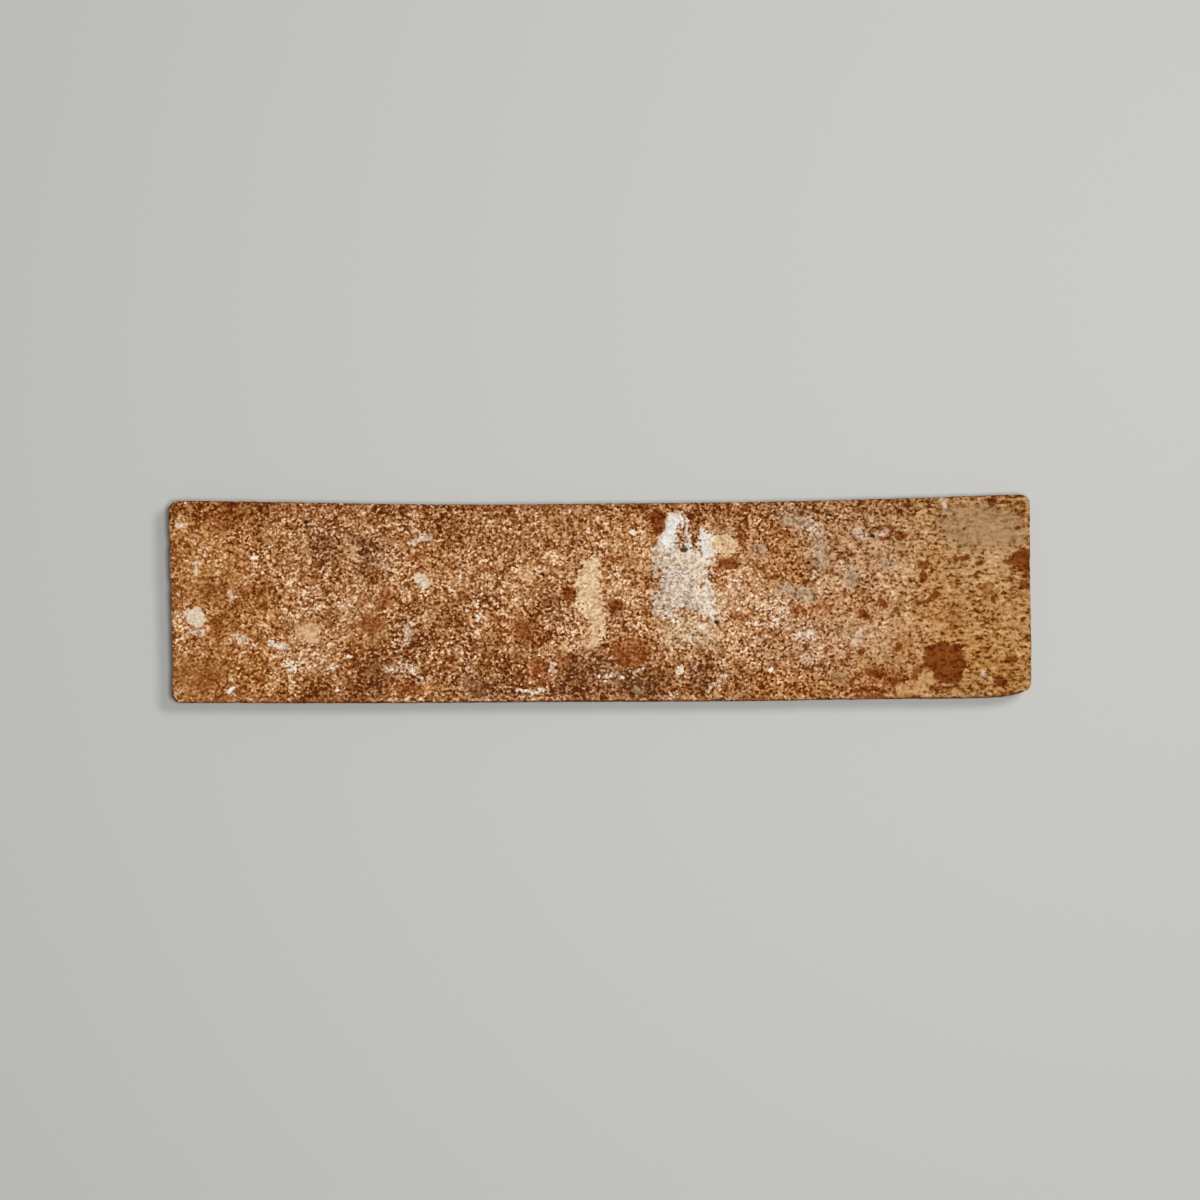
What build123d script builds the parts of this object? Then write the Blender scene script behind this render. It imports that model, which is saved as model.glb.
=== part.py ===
import os

from build123d import *

# Brick-look porcelain tile, dry-pressed and fired in one piece, lying on its back.
# X runs along the tile and Y across it, Z points up through the face, and the origin
# is the middle of the back.

# Overall size
LENGTH = 250.0
WIDTH = 60.7
THICKNESS = 10.0

# How far each uneven edge falls back from the overall rectangle, at even steps along it
FAR_EDGE_INSETS = (2.0, 2.4, 3.0, 2.7, 2.3, 1.3, 0.0)  # left to right
NEAR_EDGE_INSETS = (0.1, 0.0, 0.1, 0.4, 0.5, 1.0, 1.4)  # left to right, up to the worn corner
LEFT_END_INSETS = (0.9, 1.0, 0.6, 0.2, 0.0)  # near to far
RIGHT_END_INSETS = (0.1, 0.0, 0.3, 0.4, 0.5)  # worn corner to far

# Corner at the near right, rubbed away in a long curve
WORN_LENGTH = 18.0
WORN_DEPTH = 3.2
WORN_END_ANGLE = 35.0

# Softened corners and rims
CORNER_RADIUS = 2.5
FACE_RIM_RADIUS = 1.0
BACK_RIM_CHAMFER = 0.6

# Pockets pressed into the back, with ribs between them that key into the adhesive
KEY_LAND = 7.0
KEY_PITCH = 11.9
KEY_RIB = 2.5
KEY_DEPTH = 0.8
KEY_CORNER_CHAMFER = 1.5
KEY_DRAFT_ANGLE = 30.0

half_length = LENGTH / 2
half_width = WIDTH / 2

far_left = (-half_length + LEFT_END_INSETS[-1], half_width - FAR_EDGE_INSETS[0])
far_right = (half_length - RIGHT_END_INSETS[-1], half_width - FAR_EDGE_INSETS[-1])
near_left = (-half_length + LEFT_END_INSETS[0], -half_width + NEAR_EDGE_INSETS[0])
worn_start = (half_length - WORN_LENGTH, -half_width + NEAR_EDGE_INSETS[-1])
worn_end = (half_length - RIGHT_END_INSETS[0], worn_start[1] + WORN_DEPTH)
worn_start_way = Vector(1, 0)
worn_end_way = worn_start_way.rotate(Axis.Z, WORN_END_ANGLE)


def even_steps(start, stop, count):
    """Values from start to stop, evenly spaced."""
    return [start + (stop - start) * step / (count - 1) for step in range(count)]


def long_edge(start, stop, insets, side):
    """Points of a long edge, on the side of the tile whose sign is given."""
    places = even_steps(start[0], stop[0], len(insets))
    return [(x, side * (half_width - inset)) for x, inset in zip(places, insets)]


def short_end(start, stop, insets, side):
    """Points of a short end, on the side of the tile whose sign is given."""
    places = even_steps(start[1], stop[1], len(insets))
    return [(side * (half_length - inset), y) for y, inset in zip(places, insets)]


def even_count(span):
    """How many pockets fit a span, kept even so that a rib runs along the middle."""
    return 2 * max(1, round(span / KEY_PITCH / 2))


key_span_x = LENGTH - 2 * KEY_LAND + KEY_RIB
key_span_y = WIDTH - 2 * KEY_LAND + KEY_RIB
key_columns = even_count(key_span_x)
key_rows = even_count(key_span_y)
key_pitch_x = key_span_x / key_columns
key_pitch_y = key_span_y / key_rows

with BuildPart() as subway_tile:
    # Body, with its four uneven edges
    with BuildSketch():
        with BuildLine():
            Spline(*long_edge(near_left, worn_start, NEAR_EDGE_INSETS, -1))
            Spline(worn_start, worn_end, tangents=(worn_start_way, worn_end_way))
            Spline(*short_end(worn_end, far_right, RIGHT_END_INSETS, 1))
            Spline(*long_edge(far_left, far_right, FAR_EDGE_INSETS, 1))
            Spline(*short_end(near_left, far_left, LEFT_END_INSETS, -1))
        make_face()
    extrude(amount=THICKNESS)

    # Corners, leaving out the line where the worn curve leaves the near edge
    upright_edges = subway_tile.edges().filter_by(Axis.Z)
    worn_line = upright_edges.sort_by_distance((*worn_start, THICKNESS / 2))[0]
    fillet([edge for edge in upright_edges if edge != worn_line], radius=CORNER_RADIUS)

    # Rims of the face and of the back
    fillet(subway_tile.faces().sort_by(Axis.Z)[-1].edges(), radius=FACE_RIM_RADIUS)
    chamfer(subway_tile.faces().sort_by(Axis.Z)[0].edges(), length=BACK_RIM_CHAMFER)

    # Keying pockets
    with BuildSketch() as key_mouths:
        with GridLocations(key_pitch_x, key_pitch_y, key_columns, key_rows):
            Rectangle(key_pitch_x - KEY_RIB, key_pitch_y - KEY_RIB)
        chamfer(key_mouths.vertices(), length=KEY_CORNER_CHAMFER)
    extrude(amount=KEY_DEPTH, taper=KEY_DRAFT_ANGLE, mode=Mode.SUBTRACT)

os.makedirs("parts", exist_ok=True)
subway_tile.part.label = "subway_tile"
export_step(subway_tile.part, "parts/subway_tile.step")
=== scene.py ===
import math

import bmesh
import bpy
import numpy as np
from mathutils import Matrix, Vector, kdtree, noise
from mathutils.geometry import delaunay_2d_cdt


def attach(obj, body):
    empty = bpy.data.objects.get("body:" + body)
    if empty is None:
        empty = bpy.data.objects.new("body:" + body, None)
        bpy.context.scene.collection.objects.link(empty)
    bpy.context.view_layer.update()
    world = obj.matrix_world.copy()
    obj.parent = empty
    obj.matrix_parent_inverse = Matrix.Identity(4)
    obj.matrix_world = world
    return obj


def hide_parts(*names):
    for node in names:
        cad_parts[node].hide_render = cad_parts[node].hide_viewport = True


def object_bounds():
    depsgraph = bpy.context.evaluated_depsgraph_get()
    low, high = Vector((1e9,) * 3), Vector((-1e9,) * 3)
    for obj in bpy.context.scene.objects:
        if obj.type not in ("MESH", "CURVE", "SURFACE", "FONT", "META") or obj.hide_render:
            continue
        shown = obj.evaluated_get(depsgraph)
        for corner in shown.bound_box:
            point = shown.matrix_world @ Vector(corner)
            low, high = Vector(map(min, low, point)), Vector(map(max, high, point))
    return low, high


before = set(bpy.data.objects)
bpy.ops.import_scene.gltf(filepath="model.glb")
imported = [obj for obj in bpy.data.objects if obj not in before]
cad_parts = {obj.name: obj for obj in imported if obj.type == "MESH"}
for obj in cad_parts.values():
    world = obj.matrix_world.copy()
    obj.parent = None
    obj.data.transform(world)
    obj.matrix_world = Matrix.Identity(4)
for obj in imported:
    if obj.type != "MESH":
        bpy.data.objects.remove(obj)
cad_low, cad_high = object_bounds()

# Brick-look tile: coloured porcelain powder, dry-pressed in one piece with a waffled back and
# a softly uneven outline, then decorated, and fired matte. The pressed back is the frame's own;
# the walls, the rim and the face are laid finely enough here to carry their wear and pits.
MM = 0.001
BACK_RIM = 0.6
FACE_RIM = 1.0
POCKET_DEPTH = 0.8
THICKNESS = cad_high.z / MM
SAME_SPOT = 0.002
HEIGHT_SLACK = 0.1

tile_bm = bmesh.new()
tile_bm.from_mesh(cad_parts["subway_tile"].data)
bmesh.ops.remove_doubles(tile_bm, verts=tile_bm.verts, dist=SAME_SPOT * MM)


def is_back(face):
    """True for the flat back and its pockets, and not for the chamfered rim round them."""
    top = max(vert.co.z for vert in face.verts) / MM
    return top < HEIGHT_SLACK * BACK_RIM or abs(top - POCKET_DEPTH) < HEIGHT_SLACK * POCKET_DEPTH


others = [face for face in tile_bm.faces if not is_back(face)]
bmesh.ops.delete(tile_bm, geom=others, context="FACES")

# Outline of the back, split into short even steps
RING_STEP = 0.5
for edge in [edge for edge in tile_bm.edges if edge.is_boundary]:
    corner = edge.verts[0]
    for pieces in range(math.ceil(edge.calc_length() / MM / RING_STEP), 1, -1):
        corner = bmesh.utils.edge_split(edge, corner, 1 / pieces)[1]

ring = [next(edge for edge in tile_bm.edges if edge.is_boundary).verts[0]]
while True:
    ways = [edge.other_vert(ring[-1]) for edge in ring[-1].link_edges if edge.is_boundary]
    onward = [vert for vert in ways if vert not in ring[-2:]]
    if len(ring) > 2 and ring[0] in onward:
        break
    ring.append(onward[0])

outline = np.array([vert.co[:2] for vert in ring]) / MM
ahead = np.roll(outline, -1, axis=0)
turn = ahead - np.roll(outline, 1, axis=0)
if np.sum(outline[:, 0] * ahead[:, 1] - ahead[:, 0] * outline[:, 1]) < 0:
    ring.reverse()
    outline = outline[::-1]
    turn = -turn[::-1]
outward = np.stack([turn[:, 1], -turn[:, 0]], axis=1)
outward /= np.linalg.norm(outward, axis=1)[:, None]

# Section of the edge from the back up to the face: chamfer, wall, rounded rim
WALL_ROWS = 10
RIM_ROWS = 6
section = [(BACK_RIM, BACK_RIM)]
wall_top = THICKNESS - FACE_RIM
for row in range(1, WALL_ROWS):
    section.append((BACK_RIM, BACK_RIM + (wall_top - BACK_RIM) * row / WALL_ROWS))
for row in range(RIM_ROWS + 1):
    angle = math.pi / 2 * row / RIM_ROWS
    section.append((BACK_RIM + FACE_RIM * (math.cos(angle) - 1), wall_top + FACE_RIM * math.sin(angle)))

tile_bm.verts.index_update()
places = [np.array(vert.co) / MM for vert in tile_bm.verts]
faces = [[vert.index for vert in face.verts] for face in tile_bm.faces]
back_count = len(places)
back_faces = len(faces)
lower = [vert.index for vert in ring]
for offset, height in section:
    upper = list(range(len(places), len(places) + len(ring)))
    for spot, way in zip(outline, outward):
        places.append(np.array([*(spot + offset * way), height]))
    for here in range(len(ring)):
        there = (here + 1) % len(ring)
        faces.append([lower[here], lower[there], upper[there], upper[here]])
    lower = upper
tile_bm.free()

# Face, filled with points in staggered rows
FACE_STEP = 0.52
RIM_GAP = 0.6 * FACE_STEP
rim_points = [Vector(places[index][:2]) for index in lower]
near_rim = kdtree.KDTree(len(rim_points))
for index, point in enumerate(rim_points):
    near_rim.insert((*point, 0), index)
near_rim.balance()
face_points = []
row_step = FACE_STEP * math.sqrt(3) / 2
half_length = max(abs(cad_low.x), abs(cad_high.x)) / MM
half_width = max(abs(cad_low.y), abs(cad_high.y)) / MM
for row in range(-int(half_width / row_step), int(half_width / row_step) + 1):
    for column in range(-int(half_length / FACE_STEP), int(half_length / FACE_STEP) + 1):
        point = Vector(((column + 0.5 * (row % 2)) * FACE_STEP, row * row_step))
        if near_rim.find((*point, 0))[2] > RIM_GAP:
            face_points.append(point)
around = list(range(len(rim_points)))
INSIDE_ONLY = 1
FILL_TOLERANCE = 1e-6
filled = delaunay_2d_cdt(rim_points + face_points, [], [around], INSIDE_ONLY, FILL_TOLERANCE)
spots, triangles, sources = filled[0], filled[2], filled[3]
used = sorted({corner for triangle in triangles for corner in triangle})
number = {}
for spot in used:
    source = min(sources[spot])
    if source < len(lower):
        number[spot] = lower[source]
    else:
        number[spot] = len(places)
        places.append(np.array([*spots[spot], THICKNESS]))
for triangle in triangles:
    faces.append([number[corner] for corner in triangle])

places = np.array(places)
edge_count = len(section) * len(ring)
edge_rows = slice(back_count, back_count + edge_count)

# Zones and marks of the face, each list from left to right, in millimetres from the tile's middle

# Zones where the clay fired paler or darker: a change of tone, half a width and a path
zones = {}
zones["shade"] = [
    (0.05, 4.0, (-124.0, 20.0), (-118.0, 19.0)),
    (0.10, 3.0, (-122.0, -6.0), (-122.0, -12.0)),
    (-0.05, 2.0, (-122.0, 15.0), (-121.5, 14.0)),
    (0.05, 4.0, (-121.0, -22.0), (-112.0, -24.0)),
    (-0.09, 2.6, (-121.0, 25.0), (-101.0, 24.5)),
    (0.06, 3.0, (-120.0, -7.0), (-115.0, -9.0)),
    (-0.08, 4.5, (-117.0, -23.0), (-109.0, -20.0)),
    (0.05, 4.0, (-117.0, 9.0), (-111.0, 16.0)),
    (-0.07, 2.4, (-116.0, 26.5), (-98.0, 26.0)),
    (-0.05, 2.4, (-114.0, -25.5), (-110.0, -25.5)),
    (-0.09, 2.6, (-113.5, 3.5), (-112.0, 1.5)),
    (0.06, 4.0, (-112.0, 9.0), (-106.0, 7.0)),
    (-0.07, 3.0, (-109.0, -7.0), (-106.5, -6.5)),
    (0.05, 4.0, (-107.0, -14.0), (-103.0, -16.0)),
    (0.05, 4.0, (-104.0, -20.0), (-98.0, -22.0)),
    (0.05, 3.0, (-104.0, -4.0), (-101.0, -5.0)),
    (-0.06, 4.0, (-104.0, 2.0), (-97.5, 1.0)),
    (-0.06, 3.5, (-104.0, 17.5), (-99.0, 17.0)),
    (-0.05, 2.4, (-102.0, -26.5), (-97.0, -26.5)),
    (-0.05, 3.0, (-101.0, -20.0), (-97.0, -22.0)),
    (-0.06, 3.0, (-99.0, 14.0), (-99.0, 9.0)),
    (-0.08, 3.0, (-98.0, 23.0), (-93.0, 22.5)),
    (0.05, 3.0, (-97.0, -24.0), (-84.0, -20.0)),
    (0.06, 4.0, (-97.0, 11.0), (-94.0, 9.0)),
    (-0.05, 4.0, (-95.0, -13.0), (-82.0, -9.0)),
    (-0.06, 2.4, (-92.0, -27.0), (-78.0, -27.0)),
    (0.08, 3.6, (-92.0, -14.0), (-89.0, -18.0)),
    (0.04, 4.0, (-91.0, 6.0), (-88.0, 4.0)),
    (0.05, 3.0, (-90.0, 18.0), (-86.0, 18.0)),
    (0.09, 3.6, (-89.0, -3.0), (-84.0, -5.0)),
    (0.08, 3.8, (-84.0, -12.0), (-81.0, -15.0)),
    (-0.07, 2.6, (-82.0, -27.8), (-70.0, -27.8)),
    (-0.11, 2.6, (-82.0, -25.0), (-79.5, -25.5)),
    (0.06, 3.0, (-82.0, -11.0), (-78.0, -13.0)),
    (-0.12, 2.8, (-81.5, 18.0), (-79.5, 13.0)),
    (-0.08, 2.4, (-81.0, 15.0), (-79.0, 13.0)),
    (-0.06, 2.5, (-77.0, 20.0), (-74.0, 18.5)),
    (0.07, 2.8, (-74.0, -3.0), (-67.0, -1.0)),
    (-0.08, 3.0, (-73.0, -18.0), (-72.0, -22.0)),
    (-0.07, 2.5, (-72.0, -15.0), (-71.0, -22.0)),
    (0.06, 3.5, (-70.0, -14.0), (-60.0, -13.0)),
    (-0.21, 3.2, (-68.0, 14.5), (-67.0, 8.5)),
    (-0.06, 3.0, (-66.5, -6.5), (-65.5, -9.0)),
    (-0.19, 4.0, (-65.5, -16.0), (-65.0, -22.0), (-67.0, -27.0)),
    (-0.05, 3.0, (-64.0, -22.0), (-64.0, -25.0)),
    (-0.12, 2.2, (-63.5, 24.8), (-61.0, 24.2)),
    (0.10, 2.6, (-62.0, 10.0), (-58.5, 8.5)),
    (-0.08, 3.0, (-61.0, -4.0), (-60.0, -7.0)),
    (-0.09, 2.4, (-58.0, -25.5), (-56.0, -25.5)),
    (0.04, 4.0, (-58.0, 3.5), (-40.0, 7.0)),
    (-0.11, 3.0, (-57.5, -13.0), (-51.0, -13.5)),
    (0.05, 2.4, (-57.5, -8.0), (-56.5, -9.0)),
    (-0.10, 3.0, (-57.0, -20.5), (-54.0, -21.0)),
    (-0.08, 2.4, (-55.0, -3.0), (-54.0, -18.0)),
    (-0.06, 3.0, (-53.0, -5.0), (-50.0, -7.0)),
    (0.05, 3.0, (-50.0, -28.0), (-46.0, -26.0)),
    (-0.07, 3.0, (-50.0, 8.0), (-50.0, 4.0)),
    (-0.08, 2.5, (-49.0, -11.0), (-45.0, -10.0)),
    (-0.12, 3.2, (-46.0, 22.5), (-43.5, 20.5)),
    (-0.12, 4.5, (-45.0, -24.0), (-28.0, -26.0)),
    (-0.07, 2.4, (-43.5, 15.0), (-43.5, 12.0)),
    (-0.05, 3.0, (-43.0, 13.0), (-41.0, 11.0)),
    (-0.13, 3.0, (-42.5, -3.0), (-41.5, -9.0)),
    (-0.04, 3.5, (-42.0, -15.0), (-16.0, -15.0)),
    (-0.09, 3.0, (-42.0, 20.0), (-26.0, 21.5)),
    (0.04, 4.0, (-39.0, 3.0), (-38.0, -11.0)),
    (-0.06, 4.0, (-36.0, 18.0), (-26.0, 15.0)),
    (-0.12, 4.0, (-33.0, -17.0), (-25.0, -20.0)),
    (-0.10, 2.2, (-32.0, 0.0), (-31.0, -2.0)),
    (0.07, 4.0, (-32.0, 20.0), (-26.0, 24.0)),
    (-0.06, 3.0, (-30.0, -27.0), (-8.0, -26.5)),
    (-0.05, 3.0, (-30.0, 7.0), (-28.0, 7.0)),
    (0.04, 3.0, (-29.0, 13.0), (-12.0, 9.0)),
    (0.07, 2.8, (-26.5, 1.0), (-25.0, -1.5)),
    (-0.05, 3.0, (-24.0, 23.0), (-20.0, 22.0)),
    (0.08, 3.4, (-22.0, 6.0), (-17.0, 10.0)),
    (-0.10, 3.4, (-21.0, -12.0), (-17.0, -12.0)),
    (-0.14, 2.4, (-20.0, -7.0), (-16.0, -2.0), (-10.0, 2.0)),
    (-0.07, 3.0, (-13.0, -27.0), (-8.0, -27.5)),
    (-0.04, 5.0, (-8.0, -24.0), (20.0, -26.0)),
    (-0.14, 5.0, (-8.0, -20.0), (-3.0, -25.0)),
    (0.08, 3.0, (-8.0, -3.0), (-11.0, -16.0)),
    (-0.05, 3.0, (-8.0, 23.0), (-5.0, 20.0)),
    (-0.06, 3.0, (-6.0, -19.0), (-2.0, -20.0)),
    (-0.05, 3.0, (-1.0, -11.0), (2.0, -12.0)),
    (0.08, 3.0, (2.0, -25.0), (5.0, -25.0)),
    (-0.05, 3.6, (2.0, -16.0), (12.0, -14.0)),
    (0.04, 4.0, (2.0, 17.0), (9.0, 14.0)),
    (-0.06, 2.4, (3.5, -1.0), (4.5, -4.0)),
    (0.09, 2.6, (4.0, 6.0), (6.0, 4.0)),
    (0.08, 3.0, (5.0, 6.0), (8.0, 0.0)),
    (0.05, 4.0, (6.0, 18.0), (14.0, 17.0)),
    (-0.22, 4.6, (7.0, -24.0), (17.0, -25.0)),
    (-0.08, 3.0, (9.0, -22.0), (11.0, -24.0)),
    (-0.03, 4.0, (9.0, 10.0), (14.0, 6.0)),
    (-0.10, 2.6, (14.0, 24.0), (17.0, 22.0)),
    (0.10, 3.0, (19.0, -8.0), (34.0, -10.0)),
    (-0.12, 1.4, (23.4, 20.0), (23.6, 16.0)),
    (-0.14, 1.8, (27.8, 23.5), (27.8, 18.0)),
    (0.06, 2.6, (28.0, 25.0), (33.0, 20.0)),
    (-0.10, 2.8, (29.0, 25.0), (42.0, 23.0)),
    (-0.18, 3.0, (31.0, -18.5), (28.5, -26.0)),
    (0.06, 3.0, (34.0, -12.0), (36.0, -12.0)),
    (0.08, 4.0, (36.0, -4.0), (41.0, -14.0)),
    (-0.08, 3.5, (38.0, -24.0), (42.0, -27.0)),
    (-0.04, 3.0, (38.0, -1.0), (58.0, -1.0)),
    (0.06, 4.0, (38.0, 2.0), (41.0, -6.0)),
    (-0.09, 3.6, (39.0, -22.0), (46.0, -25.5)),
    (0.12, 4.6, (39.0, 3.5), (50.0, -1.5)),
    (0.07, 3.0, (41.0, 10.0), (47.0, 5.0)),
    (-0.06, 2.4, (42.0, 19.0), (42.0, 16.0)),
    (-0.03, 4.0, (44.0, -3.0), (52.0, -7.0)),
    (0.05, 3.0, (45.0, -16.0), (49.0, -17.0)),
    (-0.06, 2.6, (50.0, -26.5), (76.0, -26.5)),
    (0.10, 3.6, (50.0, -2.0), (60.0, -11.0)),
    (-0.07, 3.0, (50.0, 25.0), (62.0, 24.5)),
    (-0.07, 4.2, (52.0, 18.0), (57.0, 10.0)),
    (-0.10, 3.0, (59.0, -19.0), (61.0, -21.0)),
    (-0.04, 3.0, (61.0, -6.0), (65.0, -7.0)),
    (-0.05, 3.0, (61.0, -4.0), (66.0, -5.0)),
    (0.07, 4.0, (62.0, 1.0), (64.0, 0.0)),
    (0.06, 4.0, (64.0, -12.0), (76.0, -11.0)),
    (-0.06, 4.0, (64.0, 21.0), (68.0, 19.0)),
    (0.05, 3.0, (68.0, 9.0), (68.0, -1.0)),
    (0.07, 3.5, (70.0, -7.0), (74.0, -12.0)),
    (0.05, 2.6, (75.0, -17.0), (78.0, -23.0)),
    (-0.07, 3.0, (75.0, 25.0), (80.0, 23.0)),
    (-0.07, 2.6, (75.0, 25.5), (80.0, 24.0)),
    (-0.08, 2.8, (76.0, 3.0), (77.0, -1.0)),
    (-0.06, 3.0, (77.0, -22.0), (86.0, -24.0)),
    (-0.04, 3.0, (78.0, 26.0), (97.0, 27.0)),
    (-0.09, 3.4, (79.0, -22.5), (83.0, -24.0)),
    (0.05, 2.8, (81.0, -13.0), (83.0, -15.0)),
    (0.07, 2.8, (82.0, 7.0), (84.0, 2.0)),
    (-0.04, 4.0, (83.0, 16.0), (87.0, 14.0)),
    (0.14, 4.0, (84.0, -6.0), (96.0, -7.0)),
    (-0.04, 2.4, (86.0, -13.5), (87.0, -15.0)),
    (0.04, 3.5, (86.0, 14.0), (89.0, 10.0)),
    (-0.08, 2.0, (87.0, 26.5), (96.0, 26.5)),
    (0.06, 3.5, (88.0, 14.0), (90.0, 8.0)),
    (-0.05, 2.6, (90.0, 28.0), (95.0, 28.0)),
    (-0.07, 2.6, (93.0, 9.0), (94.0, 6.0)),
    (-0.06, 3.0, (99.0, -25.0), (106.0, -24.0)),
    (-0.06, 5.0, (99.5, -17.0), (102.0, -20.5)),
    (-0.05, 2.4, (101.5, -6.0), (102.5, -8.0)),
    (-0.12, 2.4, (101.8, -5.2), (103.2, -6.8)),
    (-0.05, 2.6, (102.0, 4.0), (104.0, 2.0)),
    (-0.06, 2.6, (106.0, -25.5), (110.0, -25.5)),
    (0.07, 2.6, (106.0, -8.0), (108.0, -9.0)),
    (-0.05, 2.6, (106.0, 28.0), (114.0, 27.0)),
    (-0.06, 3.0, (107.0, -17.0), (110.0, -16.0)),
    (0.05, 3.0, (107.0, 4.0), (110.0, 2.0)),
    (-0.06, 4.0, (110.0, -17.0), (118.0, -22.0)),
    (-0.06, 2.0, (110.0, 27.5), (122.0, 26.5)),
    (-0.05, 2.6, (113.0, -26.5), (119.0, -24.5)),
    (0.09, 3.0, (113.0, 6.0), (117.0, 16.0)),
    (-0.09, 2.6, (114.0, -26.5), (119.0, -25.5)),
    (-0.04, 2.6, (114.0, -20.5), (117.0, -21.5)),
    (-0.05, 3.0, (114.0, 27.0), (120.0, 26.0)),
    (-0.05, 4.0, (116.0, -6.0), (120.0, -8.0)),
    (-0.03, 2.6, (117.0, -17.5), (119.0, -19.0)),
    (-0.14, 2.8, (121.0, 7.0), (120.5, 3.5)),
]

# Zones where the iron in the clay turned it rusty, or where there was too little of it and
# it stayed sandy
zones["iron"] = [
    (0.30, 4.0, (-121.0, -25.0), (-116.0, -27.0)),
    (0.65, 14.0, (-112.0, 20.0), (-110.0, -17.0)),
    (-0.30, 2.6, (-108.0, 1.0), (-106.0, 0.0)),
    (-0.35, 3.0, (-104.5, -12.5), (-102.0, -13.0)),
    (0.35, 4.0, (-98.0, -2.0), (-101.0, -20.0)),
    (0.30, 4.0, (-96.0, -26.0), (-82.0, -27.0)),
    (-0.60, 2.8, (-90.0, -18.0), (-88.0, -19.5)),
    (-0.35, 3.2, (-85.0, -12.0), (-82.0, -15.0)),
    (-0.35, 4.5, (-80.0, 15.0), (-64.0, 14.0)),
    (-0.35, 3.0, (-73.0, -2.0), (-72.5, -5.0)),
    (0.20, 4.0, (-72.0, -16.0), (-68.0, -20.0)),
    (0.30, 4.0, (-72.0, -13.0), (-66.0, -13.0)),
    (-0.35, 2.4, (-63.5, 9.0), (-62.5, 7.0)),
    (0.35, 3.0, (-61.0, 2.0), (-61.0, -2.0)),
    (-0.50, 3.0, (-59.0, -19.0), (-53.5, -19.5)),
    (0.50, 2.6, (-57.0, -26.5), (-53.0, -26.5)),
    (-0.35, 2.4, (-56.0, -7.0), (-55.0, -10.0)),
    (0.35, 5.0, (-53.0, 14.0), (-48.0, 3.0)),
    (-0.40, 2.2, (-52.0, 6.0), (-51.0, 5.5)),
    (-0.40, 2.5, (-52.0, 18.0), (-51.5, 17.0)),
    (0.40, 4.0, (-45.0, -21.0), (-43.0, -24.0)),
    (-0.40, 3.0, (-40.0, -24.0), (-36.0, -24.0)),
    (-0.45, 3.0, (-36.0, -27.0), (-12.0, -27.5)),
    (0.30, 4.0, (-30.0, -8.0), (-21.0, -9.0)),
    (0.35, 2.6, (-20.0, -21.0), (-17.0, -22.0)),
    (0.20, 3.0, (-10.0, 2.0), (-8.0, 3.0)),
    (-0.50, 5.0, (-6.0, -23.0), (12.0, -24.0)),
    (0.40, 4.0, (5.0, -14.0), (12.0, -13.0)),
    (0.30, 4.0, (9.0, 23.0), (16.0, 22.0)),
    (-0.5, 4.0, (19.0, -8.0), (31.0, -11.0)),
    (-0.30, 4.5, (20.0, -14.0), (28.0, -22.0)),
    (-0.40, 3.0, (32.0, 21.0), (34.0, 19.0)),
    (0.30, 4.0, (32.0, 25.0), (42.0, 22.0)),
    (0.30, 3.0, (36.0, 10.0), (38.0, 10.0)),
    (-0.40, 3.0, (40.0, 4.0), (41.0, 0.0)),
    (1.0, 4.0, (48.0, -25.5), (84.0, -24.0)),
    (-0.35, 3.0, (50.0, -2.0), (52.0, -7.0)),
    (0.65, 5.0, (51.0, 16.0), (55.0, 8.0)),
    (0.25, 2.4, (57.0, -3.0), (66.0, -4.0)),
    (-0.35, 3.0, (57.0, 2.0), (61.0, 2.0)),
    (-0.50, 3.4, (58.0, 23.0), (63.0, 18.0), (64.0, 11.0)),
    (-0.70, 3.0, (58.5, -11.0), (61.0, -11.0)),
    (-0.30, 3.0, (68.0, -22.0), (71.0, -23.0)),
    (-0.45, 3.4, (72.0, -9.0), (75.0, -11.0)),
    (-0.55, 3.0, (72.0, 7.0), (73.0, 5.0)),
    (0.35, 3.0, (74.0, 0.0), (74.0, -5.0)),
    (-0.35, 3.4, (75.0, 18.5), (80.0, 18.0)),
    (0.35, 3.0, (76.0, 1.0), (78.0, -1.0)),
    (-0.30, 4.0, (80.0, 22.0), (88.0, 18.0)),
    (-0.35, 4.0, (82.0, 9.0), (88.0, 9.0)),
    (-0.25, 3.0, (88.0, 11.0), (90.0, 8.0)),
    (-0.40, 4.0, (94.0, -4.0), (93.0, -9.0)),
    (0.75, 8.0, (96.0, -18.0), (120.0, -20.0)),
    (0.65, 4.0, (96.0, 10.0), (96.0, -2.0)),
    (0.6, 9.0, (100.0, -6.0), (120.0, -6.0)),
    (-0.3, 6.0, (103.0, 21.0), (117.0, 21.0)),
    (0.35, 5.0, (104.0, -14.0), (116.0, -18.0)),
    (-0.30, 4.0, (105.0, 12.0), (116.0, 11.0)),
    (-0.25, 4.0, (108.0, 12.0), (114.0, 10.0)),
    (0.30, 5.0, (110.0, -16.0), (118.0, -22.0)),
    (0.30, 3.0, (119.0, 24.0), (122.0, 22.0)),
    (0.40, 4.0, (121.0, 26.0), (124.0, 22.0)),
]

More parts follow.
